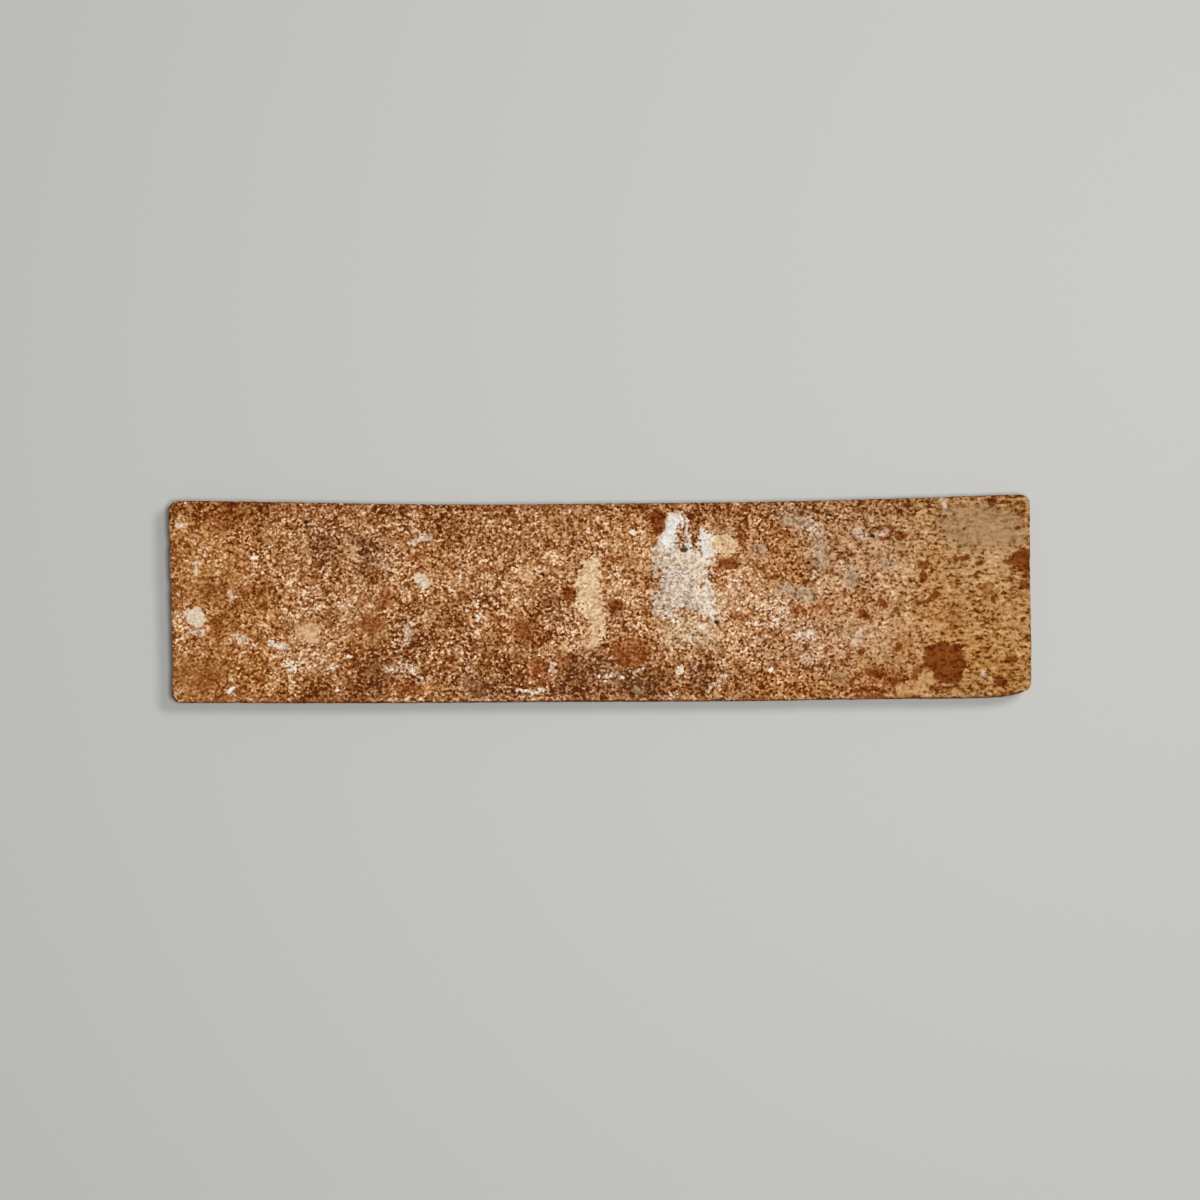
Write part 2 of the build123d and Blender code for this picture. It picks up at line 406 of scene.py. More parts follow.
# Zones where the grains stand out more or less from each other
zones["crisp"] = [
    (-0.10, 5.0, (-120.0, -24.0), (-108.0, -22.0)),
    (-0.06, 4.0, (-120.0, 3.0), (-110.0, 1.0)),
    (-0.14, 4.0, (-119.0, -24.0), (-112.0, -22.0)),
    (-0.12, 14.0, (-112.0, 18.0), (-112.0, -20.0)),
    (-0.08, 4.0, (-100.0, -2.0), (-94.0, -4.0)),
    (-0.10, 5.0, (-82.0, 20.0), (-76.0, 22.0)),
    (-0.12, 4.0, (-67.0, -8.0), (-66.0, -24.0)),
    (-0.14, 3.0, (-66.0, -7.0), (-65.0, -9.0)),
    (0.18, 4.0, (-57.0, -6.0), (-55.0, -20.0)),
    (-0.08, 5.0, (-50.0, 10.0), (-44.0, 14.0)),
    (-0.08, 5.0, (-36.0, 24.0), (-8.0, 24.0)),
    (0.14, 3.0, (-34.0, -4.0), (-27.0, 1.0)),
    (0.12, 3.0, (-24.0, -27.0), (-16.0, -27.0)),
    (-0.12, 3.0, (-24.0, -8.0), (-20.0, -9.0)),
    (0.10, 5.0, (-12.0, -6.0), (16.0, -4.0)),
    (-0.08, 4.0, (8.0, 14.0), (14.0, 14.0)),
    (0.12, 4.0, (24.0, -12.0), (34.0, -22.0)),
    (0.12, 5.0, (44.0, -8.0), (60.0, -16.0)),
    (0.10, 6.0, (50.0, 24.0), (62.0, 22.0)),
    (0.12, 4.0, (54.0, 3.0), (58.0, 3.0)),
    (0.16, 4.0, (72.0, -24.0), (96.0, -26.0)),
    (0.14, 4.0, (78.0, 1.0), (93.0, 2.0)),
    (-0.10, 5.0, (106.0, 20.0), (118.0, 16.0)),
    (-0.10, 4.0, (118.0, -20.0), (124.0, -22.0)),
]

# Marks of the decoration, placed as half a width and a path
marks = {}

# Purple-brown clouds, where the fire was short of air
marks["plum"] = [
    (2.2, (-81.0, 15.8), (-78.5, 13.2)),
    (2.6, (-68.5, 16.0), (-65.0, 11.0)),
    (3.0, (-66.0, -20.0), (-64.0, -24.0)),
    (2.6, (-39.0, -24.0), (-33.0, -26.5)),
    (2.0, (-14.0, -0.5), (-12.0, -5.0)),
    (3.4, (-5.0, -17.0), (1.0, -20.0)),
    (3.0, (3.0, -24.0), (16.0, -25.0)),
    (1.6, (3.0, -3.4), (4.4, -5.6)),
    (2.2, (29.0, -20.0), (29.0, -25.0)),
]

# Cement haze, the broad patch and a few thin ones
marks["haze"] = [
    (1.2, (35.2, 19.6), (37.0, 19.4)),
    (1.6, (69.0, -22.7), (71.0, -23.0)),
    (1.2, (99.5, 28.0), (98.8, 22.0)),
    (2.4, (101.6, 24.8), (113.0, 25.0)),
    (5.6, (104.8, 20.6), (118.0, 20.2)),
]

# Pale ash, wiped on in short strokes
marks["ash"] = [
    (1.0, (10.4, -26.2), (11.2, -26.4)),
    (1.6, (46.0, 14.2), (47.5, 13.6)),
    (1.4, (52.5, 2.6), (54.5, 2.6)),
    (2.2, (54.0, 23.2), (58.5, 23.0)),
    (1.8, (58.0, 1.6), (60.5, 1.6)),
    (1.4, (58.5, 23.2), (62.0, 20.0)),
    (1.8, (63.6, 17.0), (64.0, 9.5)),
    (2.0, (73.0, 7.0), (73.1, 5.4)),
    (0.9, (73.6, 18.3), (76.0, 18.4)),
    (1.2, (82.9, 11.0), (82.9, 8.8)),
    (0.9, (99.8, 27.5), (100.2, 25.0)),
]

# Cream slip, wiped on
marks["cream"] = [
    (3.2, (-3.6, 5.0), (-3.3, 0.6)),
    (2.9, (-2.8, -0.6), (-1.6, -4.6)),
    (2.8, (-2.4, 9.8), (-2.4, 7.6)),
    (1.1, (-1.2, -10.6), (-1.5, -13.2)),
    (2.3, (-1.0, -5.6), (-0.8, -9.0)),
    (2.8, (33.2, 16.4), (35.2, 15.8)),
    (2.0, (36.0, 16.6), (38.0, 15.4)),
    (1.0, (38.2, 15.0), (40.0, 14.4)),
]

# Peach slip, in small smooth discs
marks["peach"] = [
    (2.8, (-84.6, -9.4), (-83.6, -10.0)),
    (1.3, (-72.0, 14.8), (-71.9, 13.4)),
    (1.6, (-21.0, 7.8), (-20.9, 6.4)),
    (1.6, (-4.6, -12.2), (-3.8, -13.0)),
    (1.6, (32.2, 13.0), (31.8, 10.6)),
]

# Rusty stains, smooth and broad
marks["stain"] = [
    (2.0, (-123.4, 15.5), (-122.4, 12.0)),
    (3.2, (-118.5, -21.5), (-115.0, -24.5)),
    (2.2, (-113.6, 3.2), (-111.6, 0.6)),
    (2.0, (-113.0, 22.4), (-110.4, 21.4)),
    (1.9, (-97.4, 2.0), (-97.6, -3.6)),
    (1.6, (51.6, 20.4), (54.6, 17.0)),
    (1.7, (77.4, -21.0), (83.0, -22.4), (87.0, -23.8)),
    (2.2, (101.6, -5.2), (102.8, -6.6)),
]

# Golden slip at the right end
marks["ochre"] = [
    (1.4, (75.0, -19.2), (75.9, -19.0)),
    (1.5, (87.0, -27.0), (92.4, -26.4)),
    (1.2, (92.0, -25.4), (93.4, -24.6)),
    (1.6, (93.2, -21.8), (94.6, -23.0)),
    (0.35, (97.4, -25.0), (102.0, -24.9)),
]

# Rust-brown iron spots
marks["rust"] = [
    (0.25, (-122.0, 5.2), (-114.0, 5.9), (-107.0, 6.9)),
    (0.5, (-117.0, -29.3), (-68.0, -29.4)),
    (2.2, (-110.6, 21.5), (-109.4, 21.3)),
    (0.9, (-86.5, -6.4), (-85.2, -6.8)),
    (2.5, (-66.6, -6.8), (-66.1, -7.7)),
    (1.3, (-62.0, 2.4), (-62.0, -1.8)),
    (1.5, (-57.0, -26.2), (-53.0, -26.4)),
    (2.1, (-22.6, -8.9), (-21.8, -9.1)),
    (2.3, (-17.3, -19.8), (-17.2, -22.6)),
    (1.5, (-10.7, -17.6), (-10.7, -18.2)),
    (4.0, (7.6, -15.5), (10.6, -15.2)),
    (0.5, (29.2, 4.4), (29.6, 4.2)),
    (0.9, (41.0, 20.0), (41.4, 16.0)),
    (1.0, (55.8, -2.9), (58.6, -3.6)),
    (0.8, (61.4, -2.2), (66.2, -2.8)),
]

# Umber spots, where more of the iron ran together
marks["umber"] = [
    (1.7, (-8.8, 1.9), (-8.2, 1.2)),
    (1.2, (4.2, -1.7), (5.2, -1.9)),
    (0.9, (7.1, -8.9)),
    (1.9, (16.5, 23.4), (16.8, 21.4)),
    (1.7, (35.6, 10.3), (38.2, 10.0)),
    (0.7, (47.0, 24.4)),
    (0.7, (47.4, -13.0)),
    (0.8, (49.9, 5.7)),
    (0.7, (57.4, 25.6), (58.2, 25.2)),
    (0.9, (59.4, -14.0)),
    (0.8, (65.2, -14.6)),
    (0.6, (68.2, 11.0)),
    (0.6, (69.3, 12.5)),
    (0.7, (70.0, -18.6)),
    (0.7, (70.7, 1.6)),
    (0.6, (71.3, 10.1)),
    (0.6, (73.0, -27.2), (77.0, -25.8), (82.0, -27.0)),
    (0.5, (74.0, -28.9), (78.0, -27.9), (82.0, -28.9)),
    (0.7, (74.7, 15.6)),
    (1.0, (75.8, -15.4)),
    (1.1, (75.8, -4.4), (76.6, -4.7)),
    (1.1, (78.0, -21.4), (80.6, -22.0)),
    (0.9, (81.4, -1.2), (81.9, -1.6)),
    (0.6, (81.4, 17.6), (83.0, 18.0), (84.2, 20.4)),
    (0.7, (81.4, 20.8), (82.2, 20.6)),
    (0.8, (81.9, 1.6)),
    (0.8, (83.4, -23.4), (85.6, -24.0)),
    (0.8, (84.2, 21.2), (85.0, 20.8)),
    (0.7, (84.6, 6.4)),
    (0.9, (85.6, -3.5), (86.6, -3.5)),
    (0.75, (86.2, 18.0), (87.8, 18.0)),
    (1.3, (86.3, -13.4), (86.3, -14.0)),
    (0.7, (86.3, 25.5)),
    (0.7, (90.8, -0.4)),
    (0.65, (91.0, -23.0), (91.6, -20.8), (93.4, -19.4), (95.4, -19.4)),
    (0.6, (91.1, -3.8)),
    (0.8, (91.8, -1.4), (94.5, -0.8), (97.2, 2.0)),
    (1.2, (92.9, 10.1), (93.4, 9.9)),
    (1.5, (93.4, 6.6), (93.7, 6.3)),
    (0.55, (95.4, -27.0), (98.4, -25.8), (102.8, -25.4), (105.2, -26.0)),
    (2.2, (96.2, -15.2), (98.8, -13.8)),
    (4.4, (98.0, -17.0), (100.6, -18.6)),
    (2.0, (98.8, -22.0), (103.0, -22.2)),
    (0.6, (100.0, 24.1)),
    (3.0, (102.4, -16.2), (102.2, -20.8)),
    (0.8, (103.2, 11.8), (106.0, 11.8)),
    (0.6, (106.1, 20.7)),
    (0.6, (108.8, 7.0), (108.8, 6.0)),
    (0.9, (110.2, 10.1)),
    (1.0, (112.3, 28.5), (113.6, 28.5)),
    (1.0, (113.9, -0.1)),
    (0.8, (114.8, -23.6), (116.8, -23.6)),
    (0.8, (117.4, 10.6), (119.0, 10.8)),
    (1.0, (118.4, -17.4), (119.8, -17.6)),
    (0.7, (118.7, -0.4)),
    (1.6, (119.0, 10.8), (122.0, 11.2)),
    (0.6, (121.0, 20.7), (122.0, 20.7)),
    (0.8, (121.0, 24.8), (122.0, 24.4)),
    (1.3, (122.4, 3.7), (123.0, 3.6)),
    (2.9, (122.4, 11.3), (126.0, 11.1)),
    (2.0, (122.6, 9.8), (126.0, 9.4)),
]

# Lime, as if left by old mortar
marks["lime"] = [
    (2.0, (19.8, 19.6), (19.2, 17.6)),
    (2.3, (21.2, 22.6), (20.2, 20.4)),
    (0.8, (23.4, 23.8), (24.6, 22.6)),
    (0.8, (25.0, 15.4), (26.0, 15.2)),
    (0.45, (25.4, 23.2), (25.6, 16.8)),
    (1.0, (29.8, 17.4), (30.4, 13.6)),
    (1.0, (30.0, 19.2), (29.4, 16.6)),
]

# Creamy mortar beside the lime
marks["mortar"] = [
    (2.6, (24.6, 12.2), (29.4, 10.8)),
    (2.2, (28.6, 8.0), (29.6, 1.0)),
    (1.5, (30.6, 18.6), (31.2, 13.6)),
    (1.6, (30.8, -0.4), (31.4, -3.2)),
]

# Dust of lime round its foot, on the tops of the grains only
marks["dust"] = [
    (1.2, (16.0, 1.0), (16.6, -4.0)),
    (1.6, (16.4, 12.0), (16.2, 8.0)),
    (2.6, (22.0, -11.0), (31.0, -11.6)),
    (2.6, (23.0, -6.6), (29.0, -7.4)),
    (1.6, (34.6, 0.0), (35.0, -4.0)),
]

# Thinner wash of lime below it, which lets grains through
marks["wash"] = [
    (1.0, (16.4, 14.6), (16.0, 9.0)),
    (1.2, (17.0, 1.0), (17.6, -3.6)),
    (1.7, (18.4, 17.0), (17.6, 12.0)),
    (1.6, (20.2, -1.4), (19.8, -4.0)),
    (2.4, (20.6, 15.6), (20.8, 11.0)),
    (3.4, (21.2, 9.0), (20.8, 0.0)),
    (2.6, (24.2, 11.6), (28.6, 11.4)),
    (3.6, (25.6, 8.0), (26.0, 0.0)),
    (2.8, (28.8, 10.0), (28.8, 4.0)),
    (3.2, (29.6, 3.0), (30.2, -1.6)),
    (1.6, (30.6, 15.0), (30.4, 12.0)),
    (1.6, (31.0, 16.4), (31.4, 12.6)),
    (1.4, (32.0, -2.4), (32.2, -4.8)),
]

# Lilac-white bloom of salts
marks["lilac"] = [
    (0.7, (-119.2, -3.9), (-118.2, -3.9)),
    (1.3, (-118.2, -9.8), (-116.4, -10.2)),
    (0.9, (-107.4, 1.1), (-106.6, 0.1)),
    (1.1, (-105.0, -11.4), (-102.8, -12.0)),
    (0.8, (-62.3, 10.0), (-61.7, 9.0)),
    (1.2, (-55.4, -9.0), (-55.0, -12.0)),
    (1.1, (-53.8, 16.8), (-50.0, 18.0)),
    (0.6, (-13.6, -21.0), (-13.4, -18.4)),
    (0.9, (52.2, -3.0), (53.0, -3.4)),
    (1.2, (59.0, -10.6), (60.6, -10.8)),
    (1.2, (59.8, -17.6), (60.6, -18.1)),
    (1.2, (60.4, 21.0), (61.9, 20.4)),
    (1.1, (74.0, -11.6), (75.3, -10.5)),
    (0.6, (75.2, 18.7), (76.9, 18.2)),
    (0.5, (80.6, 18.9), (82.6, 19.4)),
    (0.7, (99.2, 28.4), (100.0, 27.2)),
    (0.5, (110.5, -22.2), (111.3, -22.2)),
]

# White chips and smears of chalk
marks["chalk"] = [
    (1.0, (-95.4, -12.2), (-90.6, -14.0)),
    (1.1, (-90.0, -19.2), (-88.6, -19.8)),
    (0.6, (-78.6, -19.4), (-76.8, -19.6)),
    (0.6, (-61.0, -20.6), (-56.0, -19.2), (-54.0, -20.6)),
    (0.4, (-53.6, -21.2), (-50.6, -24.6)),
    (0.7, (-36.0, -5.4), (-35.0, -5.7)),
    (0.7, (-23.6, -26.2), (-19.8, -27.2), (-15.4, -26.4)),
    (0.6, (3.0, -22.0), (4.6, -21.6)),
    (0.5, (9.4, -21.0), (10.8, -20.7)),
    (0.5, (20.8, -28.3), (22.4, -28.4)),
    (0.6, (21.0, -7.0), (22.6, -7.6)),
    (0.9, (22.7, -20.2), (22.9, -21.6)),
    (0.5, (29.0, -7.0), (30.6, -7.8)),
    (0.45, (31.4, -26.4), (34.0, -24.2), (36.6, -21.8)),
    (0.8, (50.9, -6.9)),
]

# Pale chips of stone, each with a whole edge
marks["chip"] = [
    (0.8, (-122.0, 21.3), (-121.4, 21.1)),
    (0.6, (-121.8, 1.6)),
    (2.2, (-117.2, -4.9), (-115.9, -6.0)),
    (0.4, (-116.7, 10.2), (-116.6, 8.4)),
    (1.4, (-52.4, 5.8), (-50.7, 4.9)),
]

# Small bright flakes of quartz
marks["flake"] = [
    (0.3, (-112.8, 9.8)),
    (0.5, (-107.5, -26.8), (-106.6, -26.5)),
    (0.5, (-101.1, 11.7), (-99.9, 12.4)),
    (0.55, (-97.7, 7.6)),
    (0.5, (-76.7, -26.3)),
    (0.5, (-73.0, -16.9), (-72.3, -16.9)),
    (0.4, (-10.0, -11.7)),
    (0.5, (0.2, -22.4)),
    (0.4, (2.0, -24.0)),
    (0.5, (6.2, -23.2)),
    (0.8, (10.1, 19.0)),
    (0.4, (12.4, -20.2)),
    (0.4, (40.8, 6.0)),
    (0.6, (44.7, -7.2)),
    (0.5, (49.5, -20.5)),
]

# Soot-black specks, burnt out into small pits
marks["soot"] = [
    (0.45, (-117.7, 20.2)),
    (0.5, (-97.7, 4.4)),
    (0.5, (-85.4, 22.1), (-85.0, 21.9)),
    (0.5, (-16.5, 7.4)),
    (0.4, (19.7, 9.1)),
    (0.6, (23.7, 14.0), (24.6, 14.1)),
    (0.35, (24.9, -1.8)),
    (0.4, (27.2, -11.0)),
    (0.35, (29.4, -10.6)),
    (0.35, (31.3, -3.2)),
    (0.4, (32.5, -18.8)),
    (0.6, (33.3, -6.4), (34.0, -6.8)),
    (0.4, (60.4, 10.6)),
    (0.4, (67.1, 23.8)),
    (0.72, (78.6, 18.6), (79.1, 18.2)),
]

# How paths become values at points: marks by how far inside one a point lies, zones by their sum
REACH = 8.0
LEAST_RUN = 1e-9


def path_distance(spots, path):
    """Distance of each spot from a path, in millimetres."""
    stops = np.array(path if len(path) > 1 else path * 2)
    least = np.full(len(spots), np.inf)
    for start, end in zip(stops[:-1], stops[1:]):
        run = end - start
        share = (spots - start) @ run / max(run @ run, LEAST_RUN)
        nearest = start + np.clip(share, 0, 1)[:, None] * run
        least = np.minimum(least, np.linalg.norm(spots - nearest, axis=1))
    return least


def mark_field(spots, strokes):
    """How far inside the nearest stroke each spot lies, in millimetres, and less than 0 outside."""
    best = np.full(len(spots), -REACH)
    for half_width, *path in strokes:
        best = np.maximum(best, half_width - path_distance(spots, path))
    return best


def zone_field(spots, strokes):
    """Sum of soft zones, each at its full change on its path and gone at twice its half width."""
    total = np.zeros(len(spots))
    for change, half_width, *path in strokes:
        faded = 1 - (path_distance(spots, path) / (2 * half_width)) ** 2
        total += change * np.clip(faded, 0, 1) ** 2
    return total


def grit(spots, size, seed):
    """Smooth chance values from -1 to 1 at these spots, with lumps of the given size."""
    return np.array([noise.noise((x / size, y / size, z / size + seed)) for x, y, z in spots])


# Zones and marks over the whole tile, shifted a little by chance so that no edge runs smoothly
WARP_LUMP = 3.2
WARP_REACH = 1.0
WARP_SEEDS = (41.5, 53.5)
flat = places * (1, 1, 0)
warp = np.stack([grit(flat, WARP_LUMP, seed) for seed in WARP_SEEDS], axis=1)
warped = places[:, :2] + WARP_REACH * warp
fields = {kind: mark_field(warped, strokes) for kind, strokes in marks.items()}
fields |= {kind: zone_field(warped, strokes) for kind, strokes in zones.items()}

# Painted shade: a darker line all along the rim
RIM_LINE = 0.7
rim_found = [near_rim.find((x, y, 0)) for x, y, z in places]
rim_side = np.array([spot.y for spot, index, distance in rim_found])
rim_distance = np.array([distance for spot, index, distance in rim_found])
rim_distance[edge_rows] = 0
fields["rim"] = RIM_LINE - rim_distance

# Painted shade darkest on the rounded rim of the near edge, below a paler line; the far edge is a
# little darker
LONG_EDGE = 26.0
NEAR_SHADE_TOP = THICKNESS - 0.14
NEAR_SHADE_FOOT = THICKNESS - 2.2
PALE_LINE = 0.8
PALE_TONE = 0.14
FAR_LINE = 5.0
FAR_TONE = -0.07
near_edge = rim_side < -LONG_EDGE
far_edge = rim_side > LONG_EDGE
near_rim_shade = np.minimum(NEAR_SHADE_TOP - places[:, 2] - rim_distance, places[:, 2] - NEAR_SHADE_FOOT)
fields["near_rim_shade"] = np.where(near_edge, near_rim_shade, -REACH)
pale = near_edge * (places[:, 2] > NEAR_SHADE_TOP) * np.clip(1 - rim_distance / PALE_LINE, 0, 1)
fields["shade"] += PALE_TONE * pale + FAR_TONE * far_edge * np.clip(1 - rim_distance / FAR_LINE, 0, 1)

# The back has none of them
for kind, field in fields.items():
    field[:back_count] = 0 if kind in zones else -REACH

# Relief of the face, which only goes down from the pressed plane: waves by height, length and seed
FACE_DEPTH = 0.16
waves = [(0.09, 18.0, 3), (0.05, 5.0, 7), (0.05, 1.7, 11)]
depth = np.full(len(places), FACE_DEPTH)
for height, length, seed in waves:
    depth += height * grit(places, length, seed)

# What stands above the face, and what is sunk or burnt into it
raised = {
    "lime": 0.10,
    "wash": 0.05,
    "chalk": 0.08,
    "mortar": 0.06,
    "chip": 0.12,
    "cream": 0.04,
    "rust": -0.10,
    "umber": -0.10,
    "soot": -0.45,
}
EDGE_SOFTNESS = 0.5
for kind, height in raised.items():
    depth -= height * np.clip(0.5 + fields[kind] / EDGE_SOFTNESS, 0, 1)
RELIEF_RISE = 1.5 * FACE_RIM
near_face = np.clip((places[:, 2] - (THICKNESS - RELIEF_RISE)) / RELIEF_RISE, 0, 1)

# Bites out of the rim, by reach, length, seed and the least chance that makes one, and rough walls
bites = [(0.55, 1.9, 17, 0.1), (0.5, 6.0, 23, 0.25)]
nibble = np.zeros(len(places))
for reach, length, seed, least in bites:
    nibble += reach * np.clip(grit(places, length, seed) - least, 0, 1)
NIBBLE_FOOT = 5.0
NIBBLE_RISE = 4.0
WALL_ROUGHNESS = 0.06
WALL_LUMP = 1.3
WALL_SEED = 29
rough_wall = WALL_ROUGHNESS * (1 + grit(places, WALL_LUMP, WALL_SEED))
wear = nibble * np.clip((places[:, 2] - NIBBLE_FOOT) / NIBBLE_RISE, 0, 1)
wear += rough_wall * (places[:, 2] > BACK_RIM)
inward = np.zeros((len(places), 2))
inward[edge_rows] = -np.tile(outward, (len(section), 1))
places[:, :2] += inward * wear[:, None]
places[:, 2] -= near_face * np.clip(depth, 0, None)

tile_mesh = bpy.data.meshes.new("subway_tile_fired")
tile_mesh.from_pydata((places * MM).tolist(), [], faces)
tile_mesh.update()
smooth = np.arange(len(faces)) >= back_faces
tile_mesh.polygons.foreach_set("use_smooth", smooth)
for kind, field in fields.items():
    layer = tile_mesh.attributes.new(kind, "FLOAT", "POINT")
    layer.data.foreach_set("value", field.astype(np.float32))
tile = bpy.data.objects.new("subway_tile_fired", tile_mesh)
bpy.context.scene.collection.objects.link(tile)


def linear(code):
    """Linear colour of an sRGB hex value."""
    parts = [int(code[i : i + 2], 16) / 255 for i in (1, 3, 5)]
    return [p / 12.92 if p <= 0.04045 else ((p + 0.055) / 1.055) ** 2.4 for p in parts] + [1.0]


def add_node(tree, kind, inputs=None, stops=None, **settings):
    """Adds a node with its settings, its ramp's stops, and its inputs as values or links."""
    made = tree.nodes.new(kind)
    for name, value in settings.items():
        setattr(made, name, value)
    for position, code in stops or []:
        stop = made.color_ramp.elements.new(position)
        stop.color = linear(code)
    if stops:
        made.color_ramp.elements.remove(made.color_ramp.elements[0])
        made.color_ramp.elements.remove(made.color_ramp.elements[-1])
    for socket, value in (inputs or {}).items():
        if isinstance(value, bpy.types.NodeSocket):
            tree.links.new(value, made.inputs[socket])
        else:
            made.inputs[socket].default_value = value
    return made


# Fired porcelain: matte, with grains of tan and brown clay a millimetre across
porcelain = bpy.data.materials.new("fired_porcelain")
porcelain.use_nodes = True
tree = porcelain.node_tree
tree.nodes.clear()
in_mm = {0: add_node(tree, "ShaderNodeTexCoord").outputs["Object"], 1: (1 / MM,) * 3}
place = add_node(tree, "ShaderNodeVectorMath", in_mm, operation="MULTIPLY").outputs[0]
apart = add_node(tree, "ShaderNodeSeparateXYZ", {0: place}).outputs
DASH_SHAPE = (0.46, 1, 1)
drawn_out = {0: place, 1: DASH_SHAPE}
drawn_out = add_node(tree, "ShaderNodeVectorMath", drawn_out, operation="MULTIPLY").outputs[0]

# Chance patterns by the size of their lumps in millimetres and their detail
lumps = {}
for name, where, size, detail in [
    ("grain", place, 0.82, 1.5),
    ("dash", drawn_out, 0.92, 1.5),
    ("ragged", place, 1.1, 2.5),
    ("lump", place, 3.5, 1.5),
    ("patch", place, 6.0, 1.0),
]:
    made = add_node(tree, "ShaderNodeTexNoise", {"Vector": where, "Scale": 1 / size, "Detail": detail})
    lumps[name] = made.outputs["Fac"]

# Usual lowest and highest value of such a pattern
USUAL = {1: 0.3, 2: 0.7}

# Single grains, each with a chance value of its own
GRAIN = 0.63
GRAIN_BLUR = 0.3
grains = add_node(
    tree,
    "ShaderNodeTexVoronoi",
    {"Vector": place, "Scale": 1 / GRAIN, "Smoothness": GRAIN_BLUR},
    feature="SMOOTH_F1",
).outputs["Color"]
grains = add_node(tree, "ShaderNodeSeparateColor", {0: grains}).outputs[0]

# Changes along the tile, by where each begins and ends in millimetres and its full value
along = {}
for name, begins, ends, full in [
    ("right_half", 30.0, 60.0, 1.0),
    ("rightward", 50.0, 105.0, 1.0),
    ("leftward", 60.0, 0.0, 1.0),
    ("melting", -10.0, 105.0, -0.6),
    ("golden", 75.0, 105.0, 0.5),
]:
    span = {0: apart["X"], 1: begins, 2: ends, 3: 0.0, 4: full}
    along[name] = add_node(tree, "ShaderNodeMapRange", span).outputs[0]

# Chance that tears the edges of marks, with single grains let through
GRAIN_TEAR = 0.8
TEAR = {3: -1.4, 4: 0.6}
ragged = {0: lumps["ragged"], **USUAL, **TEAR}
ragged = add_node(tree, "ShaderNodeMapRange", ragged).outputs[0]
ragged = {0: grains, 1: GRAIN_TEAR, 2: ragged}
ragged = add_node(tree, "ShaderNodeMath", ragged, operation="MULTIPLY_ADD").outputs[0]


def mark_mask(kind, tear, soft, cover):
    """How much a kind of mark covers: its edge torn and softened by so many millimetres."""
    inside = add_node(tree, "ShaderNodeAttribute", attribute_name=kind).outputs["Fac"]
    torn = {0: ragged, 1: tear, 2: inside}
    torn = add_node(tree, "ShaderNodeMath", torn, operation="MULTIPLY_ADD").outputs[0]
    limits = {0: torn, 1: -soft, 2: soft, 3: 0.0, 4: cover}
    return add_node(tree, "ShaderNodeMapRange", limits, interpolation_type="SMOOTHSTEP").outputs[0]


SPECK_EDGE = 0.2


def speck_mask(cell, share, largest, tear, cover):
    """Where chance specks lie: a share of the cells hold one, of up to the largest radius."""
    cells = add_node(tree, "ShaderNodeTexVoronoi", {"Vector": place, "Scale": 1 / cell}).outputs
    chance = add_node(tree, "ShaderNodeSeparateColor", {0: cells["Color"]}).outputs[0]
    radius = {0: chance, 1: 1 - share, 2: 1.0, 3: -tear, 4: largest}
    radius = add_node(tree, "ShaderNodeMapRange", radius).outputs[0]
    inside = {0: cells["Distance"], 1: -cell, 2: radius}
    inside = add_node(tree, "ShaderNodeMath", inside, operation="MULTIPLY_ADD").outputs[0]
    torn = {0: ragged, 1: tear, 2: inside}
    torn = add_node(tree, "ShaderNodeMath", torn, operation="MULTIPLY_ADD").outputs[0]
    limits = {0: torn, 1: 0.0, 2: SPECK_EDGE, 3: 0.0, 4: cover}
    return add_node(tree, "ShaderNodeMapRange", limits).outputs[0]


# Grains of the clay, round on the left and drawn out towards the right end, with a chance tone each
MIDDLE = 0.5
NOISE_TONE = 1.5
GRAIN_FADING = {3: 1.0, 4: 0.5}
fine = {0: along["rightward"], 2: lumps["grain"], 3: lumps["dash"]}
fine = add_node(tree, "ShaderNodeMix", fine).outputs[0]
fine = add_node(tree, "ShaderNodeMath", {0: fine, 1: MIDDLE}, operation="SUBTRACT").outputs[0]
own_tone = add_node(tree, "ShaderNodeMath", {0: grains, 1: MIDDLE}, operation="SUBTRACT").outputs[0]
fading = {0: along["rightward"], **GRAIN_FADING}
fading = add_node(tree, "ShaderNodeMapRange", fading).outputs[0]
own_tone = add_node(tree, "ShaderNodeMath", {0: own_tone, 1: fading}, operation="MULTIPLY").outputs[0]
fine = {0: fine, 1: NOISE_TONE, 2: own_tone}
fine = add_node(tree, "ShaderNodeMath", fine, operation="MULTIPLY_ADD").outputs[0]

# How strongly they stand out, which changes from patch to patch and grows towards the right end
PATCHES = {1: 0.35, 2: 0.65}
PATCH_STRENGTH = {3: 0.64, 4: 0.86}
strength = {0: lumps["patch"], **PATCHES, **PATCH_STRENGTH}
strength = add_node(tree, "ShaderNodeMapRange", strength).outputs[0]
crisp = add_node(tree, "ShaderNodeAttribute", attribute_name="crisp").outputs["Fac"]
for part, weight in [(crisp, 1.0), (along["right_half"], 0.14), (along["rightward"], 0.26)]:
    strength = {0: part, 1: weight, 2: strength}
    strength = add_node(tree, "ShaderNodeMath", strength, operation="MULTIPLY_ADD").outputs[0]
